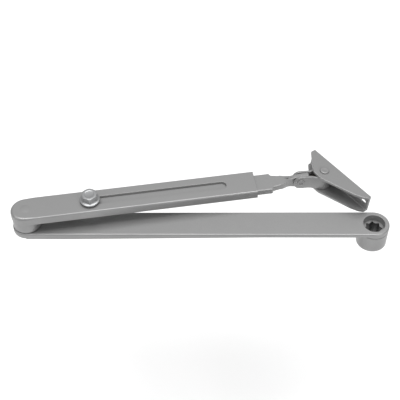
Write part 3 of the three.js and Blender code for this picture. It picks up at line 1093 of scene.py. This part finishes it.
@dataclass
class Clamp:
    """Hexagon flange bolt and its lock washer."""

    palette: Palette
    place: Matrix
    cover_top: float
    tip: float
    at: float = 57.3
    washer: float = 1.6
    washer_radius: float = 7.4
    flats: float = 13.0
    height: float = 7.6
    turn: float = -93.4
    flange_radius: float = 8.85
    flange: float = 1.4
    shank: float = 4.0

    def bolt(self) -> Solid:
        """Bolt: shank, cone-topped flange and chamfered hexagon with a shallow dish."""
        seat = self.cover_top + self.washer
        lap = seat + self.flange
        half = self.flats / 2
        rim = arc(self.flange_radius - 0.35, seat + 0.35, 0.35, -90, 0, 3)
        lip = arc(self.flange_radius - 0.45, lap - 0.45, 0.45, 0, 75, 4)
        cone = [(half + 0.9, lap + 0.35), (half - 0.2, lap + 1.2), (0, lap + 1.2)]
        collar = Solid.turned([(0, seat), *rim, *lip, *cone])
        corner = half / math.cos(math.pi / 6) + 0.2
        top = seat + self.height
        chamfer = [(corner, top - 1.15), (half - 0.2, top - 0.1), (half - 0.6, top)]
        dish = [(4.4, top), (3.8, top - 0.3), (0, top - 0.4)]
        crown = Solid.turned([(0, seat + 0.1), (corner, seat + 0.1), *chamfer, *dish])
        head = Solid.prism(polygon(self.flats, 6, self.turn), seat + 0.05, top + 1).keep(crown)
        point = [(0, self.tip), (self.shank - 0.9, self.tip), (self.shank, self.tip + 0.9)]
        shank = Solid.turned([*point, (self.shank, seat + 0.5), (0, seat + 0.5)])
        bolt = collar.add(head).add(shank)
        return bolt.round_edges(0.18, lambda a, b: min(a.z, b.z) > lap, 2, 25)

    def lock_washer(self) -> Solid:
        """Split spring washer with rounded edges and its gap."""
        low, high = self.cover_top, self.cover_top + self.washer - 0.03
        hole = Solid.disc(self.shank + 0.3, low - 1, high + 1)
        gap = Solid.prism([(2, -0.35), (10, -0.35), (10, 0.35), (2, 0.35)], low - 1, high + 1)
        return Solid.disc(self.washer_radius, low, high).cut(hole, gap).soften(0.25, 2)

    def build(self) -> None:
        """Makes both pieces."""
        place = self.place @ Matrix.Translation((self.at, 0, 0))
        zinc, spring = self.palette.zinc, self.palette.spring
        install(self.bolt(), Seat("clamp_bolt", "clamp", place, zinc))
        washer = Seat("clamp_lock_washer", "slide", place, spring)
        install(self.lock_washer(), washer)


@dataclass
class Loop:
    """Strap bent round the shoe pin, and the rivet through its two leaves."""

    palette: Palette
    place: Matrix
    sag: float = 0.5
    length: float = 21.4
    height: float = 14.0
    strap: float = 2.0
    leaf_inner: float = 2.4
    eye: float = 7.7
    leaf_radius: float = 6.6
    parallel: float = 12.4
    rivet_bore: float = 2.8
    rivet: float = 2.5
    head: float = 3.5
    head_height: float = 0.8

    def plan(self, leaf: float, eye: float, tail: float) -> list[Point]:
        """Plan of the strap's outer or inner face.

        Args:
            leaf: Half the distance between the leaves' faces.
            eye: Radius round the pin.
            tail: Where the leaves end, behind the rivet.

        Returns:
            The outline.
        """
        back = self.length - self.parallel
        lean = math.degrees(math.asin((eye - leaf) / self.parallel))
        turn = arc(self.length, 0, eye, -90 - lean, 90 + lean, 56)
        near = [(tail, -leaf), (back, -leaf)]
        far = [(back, leaf), (tail, leaf)]
        radii = [0.0, 9.0, *[0.0] * len(turn), 9.0, 0.0]
        return fillet(near + turn + far, radii, 6)

    def strap_solid(self) -> Solid:
        """The bent strap with round leaf ends and the rivet hole."""
        half = self.height / 2
        outer = self.leaf_inner + self.strap
        body = Solid.prism(self.plan(outer, self.eye, -self.leaf_radius - 1), -half, half)
        inner = self.plan(self.leaf_inner, self.eye - self.strap, -self.leaf_radius - 4)
        body.cut(Solid.prism(inner, -half - 1, half + 1))
        ends = [(x, z * half / self.leaf_radius) for x, z in arc(0, 0, self.leaf_radius, 90, 270, 40)]
        front = self.length + self.eye + 2
        above = [(front, half + 0.5), (3, half + 0.5), (3, half)]
        below = [(x, -z) for x, z in reversed(above)]
        body.keep(Solid.side_prism([*above, *ends, *below], -20, 20))
        body.cut(Solid.disc(self.rivet_bore, -20, 20).along_y().shift(0, 0, self.sag))
        return body.soften(0.5, 3, 60).shift(0, 0, -self.sag)

    def rivet_solid(self) -> Solid:
        """Rivet with a rolled head at each end, dished in the middle."""
        face = self.leaf_inner + self.strap
        end = face + self.head_height
        roll = arc(self.head - 0.5, end - 0.5, 0.5, 0, 90, 5)
        dish = [(2.0, end), (1.5, end - 0.6), (0, end - 0.7)]
        right = [(self.rivet, face), (self.head, face), *roll, *dish]
        left = [(r, -z) for r, z in reversed(right)]
        return Solid.turned([*left, *right]).along_y()

    def build(self) -> None:
        """Makes both pieces."""
        enamel = self.palette.enamel
        install(self.strap_solid(), Seat("swivel_loop", "loop", self.place, enamel))
        install(self.rivet_solid(), Seat("tilt_rivet", "loop", self.place, enamel))


@dataclass
class Shoe:
    """Folded bracket and the pin through its cheeks."""

    palette: Palette
    place: Matrix
    web: float = 72.5
    pin_from_end: float = 25.4
    pin_from_web: float = 12.8
    inner: float = 7.3
    sheet: float = 2.2
    bend: float = 1.2
    hole: float = 2.4
    hole_from_end: float = 6.0
    slot_half: float = 1.4
    pin: float = 3.6
    head: float = 4.25
    head_height: float = 1.5

    def cheek(self) -> list[Point]:
        """Plan of a cheek, from the web's first end round to its last, anticlockwise."""
        x, y = -self.pin_from_end, self.pin_from_web
        drops = [(0.0, 0.0), (0.1, -5.2), (9.1, -12.5), (16.2, -18.4), (20.5, -21.5), (30.5, -21.7)]
        drops += [(62.0, -11.0), (68.6, -7.6), (72.1, -4.4), (self.web, 0.0)]
        corners = [(x + along, y + down) for along, down in drops]
        return fillet(corners, [0, 1.4, 7.0, 7.0, 4.0, 5.0, 16.0, 4.0, 2.2, 0], 7)

    def fold(self, point: Point) -> float:
        """Radius of the bracket's rims: a bend at the web, a broken edge elsewhere."""
        return self.bend if point[1] > self.pin_from_web - 0.01 else 0.5

    def bracket(self) -> Solid:
        """The folded bracket with its bends and screw holes."""
        x, y = -self.pin_from_end, self.pin_from_web
        outer = self.inner + self.sheet
        block = Solid.pressed(self.cheek(), -outer, outer, self.fold, self.fold)
        back = y - self.sheet
        front = x + self.web + 2
        plan = [(x - 2, back), (x - 2, -30), (front, -30), (front, back)]
        room = Solid.prism(plan, -self.inner, self.inner)
        room.round_edges(0.8, lambda a, b: min(a.y, b.y) > back - 0.01 and abs(a.x - b.x) > 1, 3)
        hole = Solid.disc(self.hole, -40, 0).along_y().shift(x + self.hole_from_end, 0, 0)
        slot = Solid.prism(obround(-self.slot_half, self.slot_half, self.hole), -40, 0).along_y()
        slot.shift(x + self.web - self.hole_from_end, 0, 0)
        return block.cut(room, hole, slot, Solid.disc(self.pin + 0.06, -20, 20))

    def pin_solid(self) -> Solid:
        """Pin with a low button head above and a spun end below."""
        outer = self.inner + self.sheet
        top = outer + self.head_height
        crown = arc(self.head - 0.9, top - 0.9, 0.9, 0, 90, 6)
        low = [(0, -outer - 0.7), (self.pin - 0.4, -outer - 0.8), (self.head, -outer - 0.35)]
        shaft = [(self.head, -outer), (self.pin, -outer), (self.pin, outer), (self.head, outer)]
        dish = [(2.2, top - 0.02), (1.0, top - 0.12), (0, top - 0.14)]
        return Solid.turned([*low, *shaft, *crown, *dish])

    def build(self) -> None:
        """Makes both pieces."""
        enamel = self.palette.enamel
        install(self.bracket(), Seat("shoe_bracket", "shoe", self.place, enamel))
        install(self.pin_solid(), Seat("shoe_pin", "shoe", self.place, enamel))


# ---- pieces kept as they are -----------------------------------------------------------------


def dress_inner_pieces(nodes: dict[str, bpy.types.Object], palette: Palette) -> None:
    """Gives the bushes, washers, nut and sleeve their finishes.

    Args:
        nodes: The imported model's nodes by name.
        palette: The finishes.
    """
    finishes = {
        "elbow_bush": palette.bronze,
        "loop_bush": palette.bronze,
        "elbow_thrust_washer": palette.acetal,
        "elbow_spring_washer": palette.spring,
        "elbow_retaining_washer": palette.zinc,
        "clamp_nut": palette.zinc,
        "tilt_sleeve": palette.zinc,
    }
    for name, finish in finishes.items():
        data = nodes[name].data
        data.materials.clear()
        data.materials.append(finish)
        LOG.info("%s: finish %s", name, finish.name)


# ---- studio ----------------------------------------------------------------------------------


@dataclass(frozen=True)
class Softbox:
    """A rectangular soft light: where it stands and its size in metres, its power in watts."""

    name: str
    place: tuple[float, float, float]
    size: tuple[float, float]
    power: float


# A large box over the back gives the satin tops their even grey and the front bends their
# highlights; two weak ones lift the boss, the hub and the inside of the shoe.
SOFTBOXES = (
    Softbox("overhead", (-0.2, 0.15, 2.6), (2.6, 1.6), 78.0),
    Softbox("left_front", (-2.4, -1.0, 1.6), (1.0, 1.0), 8.0),
    Softbox("right_front", (1.6, -2.4, 1.3), (1.0, 1.0), 24.0),
)


@dataclass
class Studio:
    """Floor, light and camera."""

    aim: Vector = field(default_factory=lambda: Vector((-0.155, 0.03, 0.02)))
    sky_strength: float = 0.30

    floor_drop: float = 0.22
    floor_size: float = 9.0
    lens: float = 82.707
    eye: Vector = field(default_factory=lambda: Vector((-0.155648, -0.53278, 0.64803)))
    pitch: float = 48.073

    def floor(self) -> None:
        """Plain pale floor below the object."""
        mesh = bmesh.new()
        bmesh.ops.create_grid(mesh, x_segments=2, y_segments=2, size=self.floor_size / 2)
        bmesh.ops.translate(mesh, verts=mesh.verts, vec=(0, 0, -self.floor_drop))
        data = bpy.data.meshes.new("floor")
        mesh.to_mesh(data)
        mesh.free()
        plane = bpy.data.objects.new("floor", data)
        bpy.context.scene.collection.objects.link(plane)
        paper = bpy.data.materials.new("matt_white_paper")
        paper.use_nodes = True
        shader = paper.node_tree.nodes["Principled BSDF"]
        shader.inputs["Base Color"].default_value = linear("#fbfbfb")
        shader.inputs["Roughness"].default_value = 0.9
        shader.inputs["Specular IOR Level"].default_value = 0.0
        data.materials.append(paper)
        plane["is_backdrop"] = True

    def sky(self) -> None:
        """Even pale surroundings."""
        world = bpy.data.worlds.new("studio")
        world.use_nodes = True
        background = world.node_tree.nodes["Background"]
        background.inputs["Color"].default_value = linear("#ffffff")
        background.inputs["Strength"].default_value = self.sky_strength
        bpy.context.scene.world = world

    def hang(self, box: Softbox) -> None:
        """Adds a soft light, turned to the object."""
        data = bpy.data.lights.new(box.name, "AREA")
        data.shape = "RECTANGLE"
        data.size, data.size_y = box.size
        data.energy = box.power
        lamp = bpy.data.objects.new(box.name, data)
        lamp.location = box.place
        lamp.rotation_euler = (self.aim - Vector(box.place)).to_track_quat("-Z", "Y").to_euler()
        bpy.context.scene.collection.objects.link(lamp)

    def camera(self) -> None:
        """Camera looking along +Y and down."""
        data = bpy.data.cameras.new("camera")
        data.lens = self.lens
        data.sensor_width = 36.0
        data.clip_start = 0.01
        data.clip_end = 50.0
        view = bpy.data.objects.new("camera", data)
        view.location = self.eye
        view.rotation_euler = (math.radians(90 - self.pitch), 0, 0)
        bpy.context.scene.collection.objects.link(view)
        bpy.context.scene.camera = view

    def build(self) -> None:
        """Sets everything up."""
        self.camera()
        self.floor()
        self.sky()
        for box in SOFTBOXES:
            self.hang(box)
        settings = bpy.context.scene.view_settings
        settings.view_transform = "Standard"
        settings.look = "None"


def corners(box: tuple[Iterable[float], Iterable[float]]) -> list[list[float]]:
    """A box as plain lists of numbers."""
    return [[float(value) for value in corner] for corner in box]


def main() -> None:
    """Builds the arm's looks in order."""
    logging.basicConfig(level=logging.INFO, format="%(name)s %(message)s")
    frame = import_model()
    cad_box = corners(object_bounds())
    places = Places.read(frame["record"])
    palette = Palette()
    Studio().build()
    arm_bottom, arm_top = heights("main_arm")
    MainArm(palette, arm_top, arm_top - arm_bottom).build()
    foot, crown = heights("forearm_cover")
    forearm = Forearm(palette, places.forearm, foot, crown, heights("elbow_boss")[0])
    forearm.build()
    slide_top = crown - forearm.sheet - RUNNING_GAP
    Slide(palette, places.forearm, slide_top, places.loop.translation.z).build()
    Clamp(palette, places.forearm, crown, heights("clamp_bolt")[0]).build()
    Loop(palette, places.loop).build()
    Shoe(palette, places.shoe).build()
    dress_inner_pieces(frame["nodes"], palette)
    {"cad": cad_box, "visual": corners(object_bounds())}


if __name__ == "__main__":
    main()
